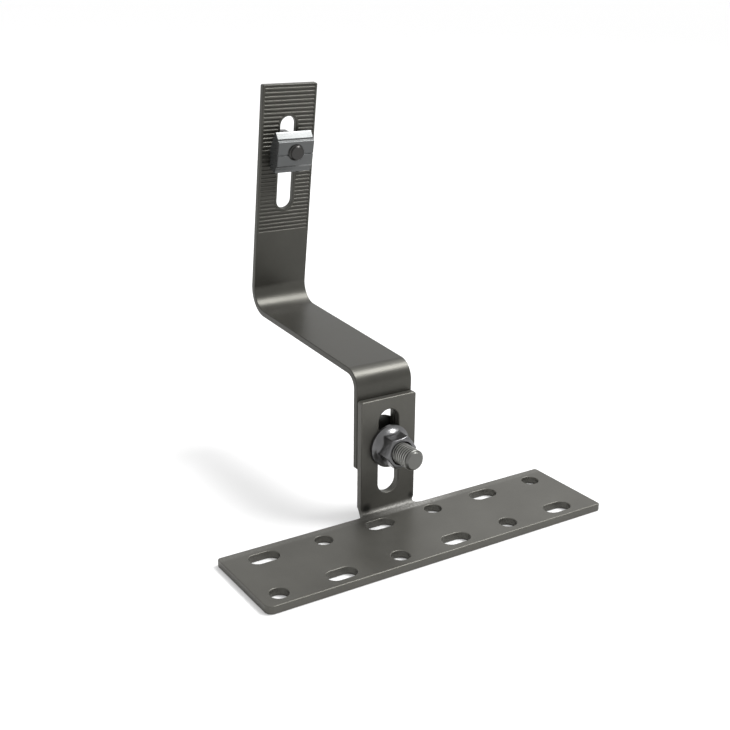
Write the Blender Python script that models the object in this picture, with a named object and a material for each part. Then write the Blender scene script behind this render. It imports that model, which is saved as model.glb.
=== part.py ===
"""Adjustable roof hook: a folded base bracket, a bent hook arm and a clamp for the rail it carries.

Metres, +Z up. The origin is the middle of the base plate's underside. X runs along the plate, and +Y
points up the roof slope, the way the arm reaches. The clamp's frame has Y up the upper leg and Z out of it.
"""
import math

import bmesh
import bpy
from mathutils import Matrix, Vector

MM = 0.001

# Gaps and rounding
SEAT_GAP = 0.3 * MM
OVERRUN = 2.0 * MM
NEUTRAL_SHARE = 0.44
EDGE_ROUND = 0.4 * MM
MERGE_DISTANCE = 0.001 * MM

# Facets
CIRCLE_STEPS = 20
BOLT_STEPS = 36
BEND_STEPS = 8
ROUND_STEPS = 1
DOME_STEPS = 6

# Base bracket, one folded sheet
SHEET = 3.8 * MM
PLATE_LENGTH = 180.0 * MM
PLATE_WIDTH = 47.5 * MM
PLATE_CORNER = 1.5 * MM
PLATE_ROUND_CORNER = 3.5 * MM
STRAP_WIDTH = 30.0 * MM
TAB_HEIGHT = 56.0 * MM
TAB_BEND = 2.0 * MM
TAB_CORNER = 1.0 * MM
RELIEF_RADIUS = 4.0 * MM
RELIEF_BITE = 0.8 * MM
TAB_SLOT_PLAY = 1.1 * MM
TAB_SLOT_BOTTOM = 8.3 * MM
TAB_SLOT_LAND = 5.8 * MM

# Screw holes of the plate
HOLE_DIAMETER = 8.3 * MM
HOLE_SLOT_LENGTH = 14.3 * MM
HOLE_PITCH = 30.0 * MM
HOLE_END_LAND = 12.0 * MM
REAR_ROW_MARGIN = 9.75 * MM
FRONT_ROW_MARGIN = 8.25 * MM
REAR_ROW_SHIFT = 3.0 * MM
FRONT_ROW_SHIFT = -5.5 * MM

# Hook arm, one bent bar
ARM_SHEET = 3.0 * MM
ARM_END_HEIGHT = 21.7 * MM
LOWER_LEG = 39.1 * MM
LOWER_BEND = 6.0 * MM
REACH = 82.8 * MM
REACH_RISE = math.radians(3.8)
UPPER_BEND = 10.0 * MM
UPPER_LEAN = math.radians(8.1)
UPPER_LEG = 103.3 * MM
ARM_CORNER = 0.8 * MM
ARM_SLOT_PLAY = 0.7 * MM
ARM_SLOT_LENGTH = 26.0 * MM
ARM_SLOT_LAND = 5.2 * MM
ARM_SLOT_CORNER = 0.6 * MM
RAIL_SLOT_PLAY = 0.8 * MM
RAIL_SLOT_LENGTH = 47.3 * MM
RAIL_SLOT_TOP = 15.7 * MM

# Serrated pad of the upper leg
GROOVES = 37
RIDGE_PITCH = 2.02 * MM
RIDGE_DEPTH = 0.5 * MM
RIDGE_TOP = 0.5 * MM
FIRST_GROOVE = 1.25 * MM
PAD_MARGIN = 1.0 * MM

# Height bolt and its nut
BOLT_DIAMETER = 10.0 * MM
BOLT_LENGTH = 29.3 * MM
BOLT_POINT = 1.1 * MM
BOLT_HEAD_DIAMETER = 24.6 * MM
BOLT_HEAD_HEIGHT = 5.3 * MM
BOLT_HEAD_RIM = 1.0 * MM
NECK_STEP = 0.1 * MM
NECK_CORNER = 0.6 * MM
NECK_LENGTH = 5.6 * MM
NECK_LAND = 0.6 * MM
NUT_FLATS = 14.5 * MM
NUT_HEIGHT = 11.2 * MM
FLANGE_DIAMETER = 21.0 * MM
FLANGE_RIM = 1.5 * MM
FLANGE_SLOPE = 3.0 * MM
NUT_TURN = math.radians(6.5)
NUT_CHAMFER = 1.1 * MM
NUT_COUNTERSINK = 0.6 * MM
THREAD_GAP = 0.3 * MM

# Rail clamp, cut from an extrusion
CLAMP_LENGTH = 19.6 * MM
CLAMP_HEIGHT = 20.3 * MM
CLAMP_DEPTH = 8.9 * MM
CLAMP_FROM_TOP = 31.4 * MM
TOOTH_DEPTH = 0.5 * MM
CLAMP_GROOVE_WIDTH = 0.6 * MM
CLAMP_GROOVE_DEPTH = 0.5 * MM
# Outline seen from the end, as shares of the height (from the bolt's axis) and of the depth
CLAMP_OUTLINE_SHARES = (
    (-0.44, 0.0), (0.045, 0.0), (0.425, 0.40), (0.465, 0.46), (0.475, 0.54), (0.45, 0.60), (0.325, 0.83),
    (0.285, 0.845), (0.275, 0.97), (0.265, 1.0), (-0.325, 0.915), (-0.335, 0.89), (-0.385, 0.77),
    (-0.45, 0.73), (-0.515, 0.675), (-0.525, 0.63), (-0.51, 0.47),
)
CLAMP_GROOVE_SHARE = -0.055
CLAMP_FRONT_TOP_SHARES = (0.265, 1.0)
CLAMP_FRONT_BOTTOM_SHARES = (-0.325, 0.915)

# Clamp bolt and its washer
CLAMP_BOLT_DIAMETER = 8.0 * MM
CLAMP_BOLT_LENGTH = 16.0 * MM
CLAMP_BOLT_POINT = 0.9 * MM
CLAMP_BOLT_FLATS = 13.0 * MM
CLAMP_BOLT_HEAD = 5.3 * MM
CLAMP_BOLT_CHAMFER = 0.9 * MM
WASHER_DIAMETER = 15.0 * MM
WASHER_PLAY = 0.6 * MM
WASHER_THICKNESS = 1.6 * MM
WASHER_CHAMFER = 0.3 * MM

# Places that follow from the sizes above
HOLE_COLUMNS = 1 + math.floor((PLATE_LENGTH - 2 * HOLE_END_LAND) / HOLE_PITCH)
CLAMP_BACK_REACH = -CLAMP_OUTLINE_SHARES[0][0] * CLAMP_HEIGHT
CLAMP_TEETH = math.floor((CLAMP_BACK_REACH - TOOTH_DEPTH) / RIDGE_PITCH)
NECK_SIDE = BOLT_DIAMETER - 2 * NECK_STEP
TAB_SLOT_WIDTH = BOLT_DIAMETER + TAB_SLOT_PLAY
TAB_SLOT_LENGTH = TAB_HEIGHT - TAB_SLOT_BOTTOM - TAB_SLOT_LAND
ARM_SLOT_WIDTH = NECK_SIDE + ARM_SLOT_PLAY
RAIL_SLOT_WIDTH = CLAMP_BOLT_DIAMETER + RAIL_SLOT_PLAY
WASHER_HOLE = CLAMP_BOLT_DIAMETER + WASHER_PLAY
# The neck rests just above the lower end of the arm's slot
BOLT_HEIGHT = ARM_END_HEIGHT + ARM_SLOT_LAND + NECK_LAND + NECK_SIDE / 2
HALF_WIDTH = PLATE_WIDTH / 2
PLATE_TOP = SHEET
TAB_FRONT = HALF_WIDTH + TAB_BEND
ARM_FRONT = TAB_FRONT + SHEET + SEAT_GAP
ARM_BACK = ARM_FRONT + ARM_SHEET
TAB_BEND_RUN = math.radians(90) * (TAB_BEND + NEUTRAL_SHARE * SHEET)
ARM_START = (0.0, ARM_END_HEIGHT - BOLT_HEIGHT)
LOWER_TURN = REACH_RISE - math.radians(90)
LEG_TILT = math.radians(90) + UPPER_LEAN
UPPER_TURN = LEG_TILT - REACH_RISE


def clear_scene():
    """Empty the scene that the script is run in."""
    for item in list(bpy.data.objects):
        bpy.data.objects.remove(item, do_unlink=True)


def surface(name, colour, roughness, metallic):
    """A plain Principled material."""
    made = bpy.data.materials.new(name)
    made.use_nodes = True
    shader = made.node_tree.nodes["Principled BSDF"]
    shader.inputs["Base Color"].default_value = (*colour, 1.0)
    shader.inputs["Roughness"].default_value = roughness
    shader.inputs["Metallic"].default_value = metallic
    return made


def bracket_steel():
    return surface("bracket_steel", (0.135, 0.133, 0.126), 0.48, 1.0)


def arm_steel():
    return surface("arm_steel", (0.105, 0.104, 0.098), 0.46, 1.0)


def bolt_steel():
    return surface("bolt_steel", (0.19, 0.19, 0.18), 0.30, 1.0)


def nut_steel():
    return surface("nut_steel", (0.26, 0.26, 0.26), 0.20, 1.0)


def clamp_aluminium():
    return surface("clamp_aluminium", (0.145, 0.147, 0.148), 0.32, 1.0)


def clamp_bolt_steel():
    return surface("clamp_bolt_steel", (0.070, 0.069, 0.066), 0.30, 1.0)


def washer_steel():
    return surface("washer_steel", (0.23, 0.23, 0.23), 0.30, 1.0)


def add_object(name, mesh, material, parent=None):
    """Put a mesh in the scene as a named sub-part, smooth except at its edges."""
    mesh.shade_smooth()
    mesh.set_sharp_from_angle(angle=math.radians(30))
    made = bpy.data.objects.new(name, mesh)
    made.data.materials.append(material)
    made.parent = parent
    bpy.context.collection.objects.link(made)
    return made


def add_place(name, location, tilt):
    """An empty that carries pieces on one axis; tilt turns its Z from upright towards -Y."""
    place = bpy.data.objects.new(name, None)
    place.location = location
    place.rotation_euler = (tilt, 0, 0)
    bpy.context.collection.objects.link(place)
    return place


def mesh_from(bm, name):
    bmesh.ops.remove_doubles(bm, verts=bm.verts, dist=MERGE_DISTANCE)
    bmesh.ops.recalc_face_normals(bm, faces=bm.faces)
    mesh = bpy.data.meshes.new(name)
    bm.to_mesh(mesh)
    bm.free()
    return mesh


def arc(centre, radius, start, end, steps):
    """Points from one angle to another, both ends included."""
    return [
        (centre[0] + radius * math.cos(start + (end - start) * i / steps),
         centre[1] + radius * math.sin(start + (end - start) * i / steps))
        for i in range(steps + 1)
    ]


def without_repeats(points):
    """Drop each point that lies on the one before it, where two arcs share an end."""
    kept = []
    for point in points:
        if not kept or math.dist(point, kept[-1]) > MERGE_DISTANCE:
            kept.append(point)
    if math.dist(kept[0], kept[-1]) <= MERGE_DISTANCE:
        kept.pop()
    return kept


def round_box(centre, width, height, corner, grow=0.0, steps=CIRCLE_STEPS // 4):
    """A rectangle with round corners, every side moved out by grow."""
    reach_x = width / 2 - corner
    reach_y = height / 2 - corner
    corners = (
        (reach_x, -reach_y, -90), (reach_x, reach_y, 0), (-reach_x, reach_y, 90), (-reach_x, -reach_y, 180),
    )
    points = []
    for x, y, angle in corners:
        start = math.radians(angle)
        points += arc((centre[0] + x, centre[1] + y), corner + grow, start, start + math.radians(90), steps)
    return without_repeats(points)


def edge_profile(thickness, rounding):
    """Depth below the face and sideways pull-in, from the face's rounded edge to the back's."""
    quarter = [math.radians(90) * i / ROUND_STEPS for i in range(ROUND_STEPS + 1)]
    front = [(rounding * (1 - math.cos(a)), rounding * (1 - math.sin(a))) for a in quarter]
    back = [(thickness - depth, pull) for depth, pull in reversed(front)]
    return front + back


def sheet_blank(loops_at, thickness, rounding):
    """A flat sheet with rounded edges, in x, run and depth.

    loops_at(pull) gives the outline and then each hole, with every edge pulled into the material by pull.
    """
    bm = bmesh.new()
    profile = edge_profile(thickness, rounding)
    rings = []
    for depth, pull in profile:
        rings.append([[bm.verts.new((x, run, -depth)) for x, run in loop] for loop in loops_at(pull)])
    for upper, lower in zip(rings, rings[1:]):
        for top, bottom in zip(upper, lower):
            for i in range(len(top)):
                j = (i + 1) % len(top)
                bm.faces.new((top[i], top[j], bottom[j], bottom[i]))
    for ring in (rings[0], rings[-1]):
        edges = []
        for loop in ring:
            edges += [bm.edges.get((loop[i], loop[(i + 1) % len(loop)])) for i in range(len(loop))]
        bmesh.ops.triangle_fill(bm, edges=edges, use_beauty=True, normal=(0, 0, 1))
    return bm


def fold_point(run, depth, start, heading, bends, thickness):
    """Where a point of the flat strip goes in the Y-Z plane once the strip is bent.

    The strip's face leaves start at the angle heading from +Y. Each bend is (run, turn, inner radius). A
    positive turn closes on the face, and a negative one on the back.
    """
    place = Vector(start)
    done = 0.0
    for bend_run, turn, radius in bends:
        if run <= bend_run:
            break
        along = Vector((math.cos(heading), math.sin(heading)))
        place = place + along * (bend_run - done)
        length = abs(turn) * (radius + NEUTRAL_SHARE * thickness)
        turned = turn * min(run - bend_run, length) / length
        face_radius = radius if turn > 0 else -(radius + thickness)
        centre = place + Vector((-along.y, along.x)) * face_radius
        place = centre + Matrix.Rotation(turned, 2) @ (place - centre)
        heading += turned
        done = min(run, bend_run + length)
    along = Vector((math.cos(heading), math.sin(heading)))
    place = place + along * (run - done)
    return place - Vector((-along.y, along.x)) * depth


def fold_sheet(bm, start, heading, bends, thickness):
    """Cut a flat sheet across at each step of its bends, and bend it."""
    for bend_run, turn, radius in bends:
        length = abs(turn) * (radius + NEUTRAL_SHARE * thickness)
        for i in range(BEND_STEPS + 1):
            bmesh.ops.bisect_plane(
                bm, geom=bm.verts[:] + bm.edges[:] + bm.faces[:], dist=MERGE_DISTANCE,
                plane_co=(0, bend_run + length * i / BEND_STEPS, 0), plane_no=(0, 1, 0),
            )
    for vert in bm.verts:
        place = fold_point(vert.co.y, -vert.co.z, start, heading, bends, thickness)
        vert.co = (vert.co.x, place.x, place.y)


def turned_mesh(profile, steps=BOLT_STEPS):
    """A solid of revolution about Z from (radius, height) points, bottom to top, both ends on the axis."""
    bm = bmesh.new()
    rings = []
    for radius, height in profile:
        if radius == 0:
            rings.append([bm.verts.new((0, 0, height))])
            continue
        angles = [math.radians(360) * i / steps for i in range(steps)]
        rings.append([bm.verts.new((radius * math.cos(a), radius * math.sin(a), height)) for a in angles])
    for lower, upper in zip(rings, rings[1:]):
        for i in range(steps):
            j = (i + 1) % steps
            corners = [lower[i % len(lower)], lower[j % len(lower)]]
            corners += [upper[j % len(upper)], upper[i % len(upper)]]
            bm.faces.new(list(dict.fromkeys(corners)))
    return bm


def ring_mesh(profile, steps=BOLT_STEPS):
    """A turned ring about Z from a closed outline of (radius, height) points."""
    bm = bmesh.new()
    columns = []
    for i in range(steps):
        angle = math.radians(360) * i / steps
        columns.append([bm.verts.new((r * math.cos(angle), r * math.sin(angle), h)) for r, h in profile])
    for i in range(steps):
        here = columns[i]
        there = columns[(i + 1) % steps]
        for k in range(len(profile)):
            m = (k + 1) % len(profile)
            bm.faces.new((here[k], there[k], there[m], here[m]))
    return bm


def prism_mesh(outline, low, high, axis="Z"):
    """A closed outline carried from low to high along Z, or along X with the outline in Y and Z."""
    bm = bmesh.new()
    ends = []
    for level in (low, high):
        if axis == "Z":
            ends.append([bm.verts.new((a, b, level)) for a, b in outline])
        else:
            ends.append([bm.verts.new((level, a, b)) for a, b in outline])
    bottom, top = ends
    bm.faces.new(list(reversed(bottom)))
    bm.faces.new(top)
    for i in range(len(outline)):
        j = (i + 1) % len(outline)
        bm.faces.new((bottom[i], bottom[j], top[j], top[i]))
    return bm


def hexagon(flats, turn):
    """The corners of a hexagon, turned from having two flats that face along Y."""
    reach = flats / 2 / math.cos(math.radians(30))
    angles = [math.radians(60 * i) + turn for i in range(6)]
    return [(reach * math.cos(a), reach * math.sin(a)) for a in angles]


def add_tool(name, bm, parent=None):
    """A guide solid that only shapes another piece."""
    tool = bpy.data.objects.new(name, mesh_from(bm, name))
    tool.parent = parent
    tool.hide_render = True
    tool.display_type = "WIRE"
    bpy.context.collection.objects.link(tool)
    return tool


def combine(target, tool, operation):
    """An exact Boolean of a sub-part with a guide solid."""
    step = target.modifiers.new(tool.name, "BOOLEAN")
    step.operation = operation
    step.solver = "EXACT"
    step.object = tool


def bracket_side(front_corner, pull):
    """The bracket's flat outline on one side, from the plate's front edge back to the tab's end."""
    half_length = PLATE_LENGTH / 2
    half_strap = STRAP_WIDTH / 2
    tab_end = PLATE_WIDTH + TAB_BEND_RUN + TAB_HEIGHT - TAB_BEND
    relief_x = half_strap - RELIEF_BITE + RELIEF_RADIUS
    relief_run = PLATE_WIDTH + RELIEF_RADIUS
    rear_middle = (half_length - PLATE_CORNER, PLATE_WIDTH - PLATE_CORNER)
    steps = CIRCLE_STEPS // 4
    straight = math.radians(90)
    # Where the tab's side meets the relief's circle
    meet = math.acos((relief_x - half_strap + pull) / (RELIEF_RADIUS + pull))
    front = arc((half_length - front_corner, front_corner), front_corner - pull, -straight, 0, steps)
    rear = arc(rear_middle, PLATE_CORNER - pull, 0, straight, steps)
    relief = arc((relief_x, relief_run), RELIEF_RADIUS + pull, -straight, -2 * straight - meet, 2 * steps)
    corner = arc((half_strap - TAB_CORNER, tab_end - TAB_CORNER), TAB_CORNER - pull, 0, straight, steps)
    return front + rear + relief + corner


def bracket_loops(pull):
    """The bracket's flat outline and holes; the corner at the front of its -X end is rounder."""
    right = bracket_side(PLATE_CORNER, pull)
    left = [(-x, run) for x, run in bracket_side(PLATE_ROUND_CORNER, pull)]
    outline = right + left[::-1]
    slot_run = PLATE_WIDTH + TAB_BEND_RUN + TAB_SLOT_BOTTOM - TAB_BEND + TAB_SLOT_LENGTH / 2
    loops = [outline]
    loops.append(round_box((0, slot_run), TAB_SLOT_WIDTH, TAB_SLOT_LENGTH, TAB_SLOT_WIDTH / 2, pull))
    rows = (
        (FRONT_ROW_MARGIN, FRONT_ROW_SHIFT, 0),
        (PLATE_WIDTH - REAR_ROW_MARGIN, REAR_ROW_SHIFT, 1),
    )
    for run, shift, slotted_first in rows:
        for column in range(HOLE_COLUMNS):
            x = shift + (column - (HOLE_COLUMNS - 1) / 2) * HOLE_PITCH
            slotted = (column + slotted_first) % 2 == 1
            width = HOLE_SLOT_LENGTH if slotted else HOLE_DIAMETER
            loops.append(round_box((x, run), width, HOLE_DIAMETER, HOLE_DIAMETER / 2, pull))
    return loops


def build_bracket():
    """Plate and tab, folded from one sheet."""
    bm = sheet_blank(bracket_loops, SHEET, EDGE_ROUND)
    bends = [(PLATE_WIDTH, math.radians(90), TAB_BEND)]
    fold_sheet(bm, (-HALF_WIDTH, PLATE_TOP), 0.0, bends, SHEET)
    return add_object("base_bracket", mesh_from(bm, "base_bracket"), bracket_steel())


def arm_bends():
    """The arm's two bends, as fold_point takes them."""
    lower = (LOWER_LEG, LOWER_TURN, LOWER_BEND)
    lower_run = abs(LOWER_TURN) * (LOWER_BEND + NEUTRAL_SHARE * ARM_SHEET)
    upper = (LOWER_LEG + lower_run + REACH, UPPER_TURN, UPPER_BEND)
    return [lower, upper]


def arm_length():
    """The bar's whole length before bending."""
    bend_run, turn, radius = arm_bends()[1]
    return bend_run + abs(turn) * (radius + NEUTRAL_SHARE * ARM_SHEET) + UPPER_LEG


def leg_place(down):
    """The point on the upper leg's front face that lies so far down from the arm's end."""
    place = fold_point(arm_length() - down, 0.0, ARM_START, math.radians(90), arm_bends(), ARM_SHEET)
    return Vector((0, ARM_FRONT + place.x, PLATE_TOP + BOLT_HEIGHT + place.y))


def arm_loops(pull):
    """The bar's flat outline and its two slots."""
    length = arm_length()
    outline = round_box((0, length / 2), STRAP_WIDTH, length, ARM_CORNER, -pull)
    low_slot = (0, ARM_SLOT_LAND + ARM_SLOT_LENGTH / 2)
    rail_slot = (0, length - RAIL_SLOT_TOP - RAIL_SLOT_LENGTH / 2)
    return [
        outline,
        round_box(low_slot, ARM_SLOT_WIDTH, ARM_SLOT_LENGTH, ARM_SLOT_CORNER, pull),
        round_box(rail_slot, RAIL_SLOT_WIDTH, RAIL_SLOT_LENGTH, RAIL_SLOT_WIDTH / 2, pull),
    ]


def ridge_cutter():
    """Wedges that cut the grooves, in the clamp's frame but measured down from the arm's end.

    Each groove stops short of the bar's edges and of a plain margin round the slot.
    """
    bm = bmesh.new()
    half_mouth = (RIDGE_PITCH - RIDGE_TOP) / 2
    keep = RAIL_SLOT_WIDTH / 2 + PAD_MARGIN
    upper_end = RAIL_SLOT_TOP + RAIL_SLOT_WIDTH / 2
    lower_end = RAIL_SLOT_TOP + RAIL_SLOT_LENGTH - RAIL_SLOT_WIDTH / 2
    outer = STRAP_WIDTH / 2 - PAD_MARGIN
    for i in range(GROOVES):
        down = FIRST_GROOVE + RIDGE_PITCH * i
        past_end = max(upper_end - down, down - lower_end, 0.0)
        if past_end >= keep:
            spans = [(-outer, outer)]
        else:
            inner = math.sqrt(keep ** 2 - past_end ** 2)
            spans = [(-outer, -inner), (inner, outer)]
        for left, right in spans:
            rise = OVERRUN * half_mouth / RIDGE_DEPTH
            wedge = [(-down, -RIDGE_DEPTH)]
            wedge += [(-down + half_mouth + rise, OVERRUN), (-down - half_mouth - rise, OVERRUN)]
            near = [bm.verts.new((left, y, z)) for y, z in wedge]
            far = [bm.verts.new((right, y, z)) for y, z in wedge]
            bm.faces.new(near)
            bm.faces.new(list(reversed(far)))
            for a in range(3):
                b = (a + 1) % 3
                bm.faces.new((near[b], near[a], far[a], far[b]))
    return bm


def build_arm():
    """The bent bar, with its origin on the height bolt's axis."""
    bm = sheet_blank(arm_loops, ARM_SHEET, EDGE_ROUND)
    fold_sheet(bm, ARM_START, math.radians(90), arm_bends(), ARM_SHEET)
    arm = add_object("hook_arm", mesh_from(bm, "hook_arm"), arm_steel())
    arm.location = (0, ARM_FRONT, PLATE_TOP + BOLT_HEIGHT)
    pad = add_place("pad_place", leg_place(0.0), LEG_TILT)
    combine(arm, add_tool("ridge_grooves", ridge_cutter(), pad), "DIFFERENCE")


def height_bolt_profile():
    """Domed head, shank and chamfered end, from the middle of the dome to the end."""
    radius = BOLT_HEAD_DIAMETER / 2
    rise = BOLT_HEAD_HEIGHT - BOLT_HEAD_RIM
    sphere = (radius ** 2 + rise ** 2) / (2 * rise)
    spread = math.asin(radius / sphere)
    points = []
    for i in range(DOME_STEPS + 1):
        angle = spread * i / DOME_STEPS
        points.append((sphere * math.sin(angle), -BOLT_HEAD_HEIGHT + sphere * (1 - math.cos(angle))))
    shank = BOLT_DIAMETER / 2
    points += [(radius, 0.0), (shank, 0.0), (shank, BOLT_LENGTH - BOLT_POINT)]
    points += [(shank - BOLT_POINT, BOLT_LENGTH), (0, BOLT_LENGTH)]
    return points


def build_height_bolt(place):
    """Round-headed bolt whose square neck sits in the arm's slot."""
    mesh = mesh_from(turned_mesh(height_bolt_profile()), "height_bolt")
    bolt = add_object("height_bolt", mesh, bolt_steel(), place)
    neck = round_box((0, 0), NECK_SIDE, NECK_SIDE, NECK_CORNER, steps=1)
    combine(bolt, add_tool("square_neck", prism_mesh(neck, -BOLT_HEAD_RIM, NECK_LENGTH), place), "UNION")


def build_height_nut(place):
    """Hexagon nut with a sloping flange, on the tab's front face."""
    seat = SEAT_GAP + ARM_SHEET + SEAT_GAP + SHEET + SEAT_GAP
    top = seat + NUT_HEIGHT
    corner = hexagon(NUT_FLATS, NUT_TURN)
    reach = math.hypot(*corner[0])
    chamfer_rise = NUT_CHAMFER * math.tan(math.radians(30))
    mesh = mesh_from(prism_mesh(corner, seat + FLANGE_RIM, top), "height_nut")
    nut = add_object("height_nut", mesh, nut_steel(), place)
    crown = [(0, seat), (reach, seat), (reach, top - chamfer_rise), (reach - NUT_CHAMFER, top), (0, top)]
    combine(nut, add_tool("nut_crown", turned_mesh(crown), place), "INTERSECT")
    rim = FLANGE_DIAMETER / 2
    slope_top = seat + FLANGE_RIM + FLANGE_SLOPE
    flange = [(0, seat), (rim, seat), (rim, seat + FLANGE_RIM), (NUT_FLATS / 2, slope_top), (0, slope_top)]
    combine(nut, add_tool("nut_flange", turned_mesh(flange), place), "UNION")
    bore = BOLT_DIAMETER / 2 + THREAD_GAP
    mouth = bore + NUT_COUNTERSINK
    past = mouth + OVERRUN
    hole = [(0, seat - OVERRUN), (past, seat - OVERRUN), (mouth, seat), (bore, seat + NUT_COUNTERSINK)]
    hole += [(bore, top - NUT_COUNTERSINK), (mouth, top), (past, top + OVERRUN), (0, top + OVERRUN)]
    combine(nut, add_tool("nut_bore", turned_mesh(hole), place), "DIFFERENCE")


def clamp_teeth():
    """Notches in the block's back, which leave teeth as far apart as the leg's grooves."""
    points = []
    for i in range(CLAMP_TEETH):
        middle = RIDGE_PITCH * (i - CLAMP_TEETH)
        points += [(middle - TOOTH_DEPTH, SEAT_GAP), (middle, SEAT_GAP + TOOTH_DEPTH)]
        points.append((middle + TOOTH_DEPTH, SEAT_GAP))
    return points


def clamp_outline():
    """The block's end view, with the teeth at its back and the groove in its front face."""
    def at(shares):
        return (shares[0] * CLAMP_HEIGHT, SEAT_GAP + shares[1] * CLAMP_DEPTH)

    points = [at(shares) for shares in CLAMP_OUTLINE_SHARES[1:] + CLAMP_OUTLINE_SHARES[:1]]
    top = at(CLAMP_FRONT_TOP_SHARES)
    bottom = at(CLAMP_FRONT_BOTTOM_SHARES)
    middle = CLAMP_GROOVE_SHARE * CLAMP_HEIGHT
    groove = []
    for side, depth in ((1, 0), (1, 1), (-1, 1), (-1, 0)):
        y = middle + side * CLAMP_GROOVE_WIDTH / 2
        face = bottom[1] + (top[1] - bottom[1]) * (y - bottom[0]) / (top[0] - bottom[0])
        groove.append((y, face - depth * CLAMP_GROOVE_DEPTH))
    after_top = points.index(top) + 1
    return clamp_teeth() + points[:after_top] + groove + points[after_top:]


def build_rail_clamp(place):
    """Block that is tapped for the clamp bolt."""
    half = CLAMP_LENGTH / 2
    bm = prism_mesh(clamp_outline(), -half, half, "X")
    clamp = add_object("rail_clamp", mesh_from(bm, "rail_clamp"), clamp_aluminium(), place)
    bore = CLAMP_BOLT_DIAMETER / 2 + THREAD_GAP
    hole = [(0, -OVERRUN), (bore, -OVERRUN), (bore, CLAMP_DEPTH + OVERRUN), (0, CLAMP_DEPTH + OVERRUN)]
    combine(clamp, add_tool("clamp_bore", turned_mesh(hole), place), "DIFFERENCE")


def washer_seat():
    """Where the washer's front face lies behind the leg's front face."""
    return -ARM_SHEET - SEAT_GAP


def build_clamp_bolt(place):
    """Hexagon bolt from behind the leg, with its end past the block."""
    seat = washer_seat() - WASHER_THICKNESS - SEAT_GAP
    low = seat - CLAMP_BOLT_HEAD
    corner = hexagon(CLAMP_BOLT_FLATS, 0)
    reach = math.hypot(*corner[0])
    chamfer_rise = CLAMP_BOLT_CHAMFER * math.tan(math.radians(30))
    mesh = mesh_from(prism_mesh(corner, low, seat), "clamp_bolt")
    bolt = add_object("clamp_bolt", mesh, clamp_bolt_steel(), place)
    crown = [(0, low), (reach - CLAMP_BOLT_CHAMFER, low), (reach, low + chamfer_rise)]
    crown += [(reach, seat), (0, seat)]
    combine(bolt, add_tool("head_crown", turned_mesh(crown), place), "INTERSECT")
    radius = CLAMP_BOLT_DIAMETER / 2
    end = seat + CLAMP_BOLT_LENGTH
    start = seat - CLAMP_BOLT_HEAD / 2
    shank = [(0, start), (radius, start), (radius, end - CLAMP_BOLT_POINT)]
    shank += [(radius - CLAMP_BOLT_POINT, end), (0, end)]
    combine(bolt, add_tool("clamp_shank", turned_mesh(shank), place), "UNION")


def build_clamp_washer(place):
    """Flat washer between the bolt's head and the leg."""
    front = washer_seat()
    back = front - WASHER_THICKNESS
    outer = WASHER_DIAMETER / 2
    inner = WASHER_HOLE / 2
    profile = [
        (inner, back), (outer - WASHER_CHAMFER, back), (outer, back + WASHER_CHAMFER),
        (outer, front - WASHER_CHAMFER), (outer - WASHER_CHAMFER, front), (inner, front),
    ]
    add_object("clamp_washer", mesh_from(ring_mesh(profile), "clamp_washer"), washer_steel(), place)


def main():
    clear_scene()
    build_bracket()
    build_arm()
    bolt_axis = Vector((0, ARM_BACK + SEAT_GAP, PLATE_TOP + BOLT_HEIGHT))
    height_place = add_place("height_bolt_axis", bolt_axis, math.radians(90))
    build_height_bolt(height_place)
    build_height_nut(height_place)
    clamp_place = add_place("clamp_bolt_axis", leg_place(CLAMP_FROM_TOP), LEG_TILT)
    build_rail_clamp(clamp_place)
    build_clamp_bolt(clamp_place)
    build_clamp_washer(clamp_place)


main()
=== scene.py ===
"""Finish of the adjustable roof hook: fine surfaces, threads, serrations, materials, light and camera.

Metres, in the frame of the CAD model. X runs along the base plate, +Y is the way the arm reaches and +Z
is up. The leg's frame has Y up the upper leg and Z out of its front face.
"""
import math

import bmesh
import bpy
from mathutils import Matrix, Vector


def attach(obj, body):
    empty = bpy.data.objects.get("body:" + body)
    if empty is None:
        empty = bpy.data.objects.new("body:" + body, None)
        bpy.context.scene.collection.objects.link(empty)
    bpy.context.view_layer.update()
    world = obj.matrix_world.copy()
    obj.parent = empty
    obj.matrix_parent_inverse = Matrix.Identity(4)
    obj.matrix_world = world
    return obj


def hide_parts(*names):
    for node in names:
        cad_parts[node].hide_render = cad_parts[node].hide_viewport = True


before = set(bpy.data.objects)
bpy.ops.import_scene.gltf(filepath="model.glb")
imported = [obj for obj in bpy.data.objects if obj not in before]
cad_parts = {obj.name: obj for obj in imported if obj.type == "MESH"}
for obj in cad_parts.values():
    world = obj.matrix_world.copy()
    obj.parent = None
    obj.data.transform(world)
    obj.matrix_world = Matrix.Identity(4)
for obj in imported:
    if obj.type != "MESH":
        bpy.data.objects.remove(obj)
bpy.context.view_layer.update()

MM = 0.001
QUARTER_TURN = math.radians(90)

# Fineness of the surfaces
HOLE_STEPS = 16
EDGE_STEPS = 4
BEND_STEPS = 28
TURN_STEPS = 96
NUT_STEPS = 288
RIDGE_STEPS = 8
DOME_STEPS = 24
NECK_CORNER_STEPS = 6
HEXAGON_HEAD_STEPS = 30
CLAMP_EDGE_STEPS = 3
THREAD_COLUMNS = 72
THREAD_ROWS = 16
MERGE_DISTANCE = 0.0005 * MM
SLOPE_STEP = 0.01 * MM
# Angles in degrees above which an edge looks sharp
SHARP_EDGE = 40
SHARP_BLOCK_EDGE = 30
SHARP_THREAD_EDGE = 50

# Threads: the flank's share of half the pitch, and how hollow it is
THREAD_FLANK_SHARE = 0.72
THREAD_HOLLOW = 1.5

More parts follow.
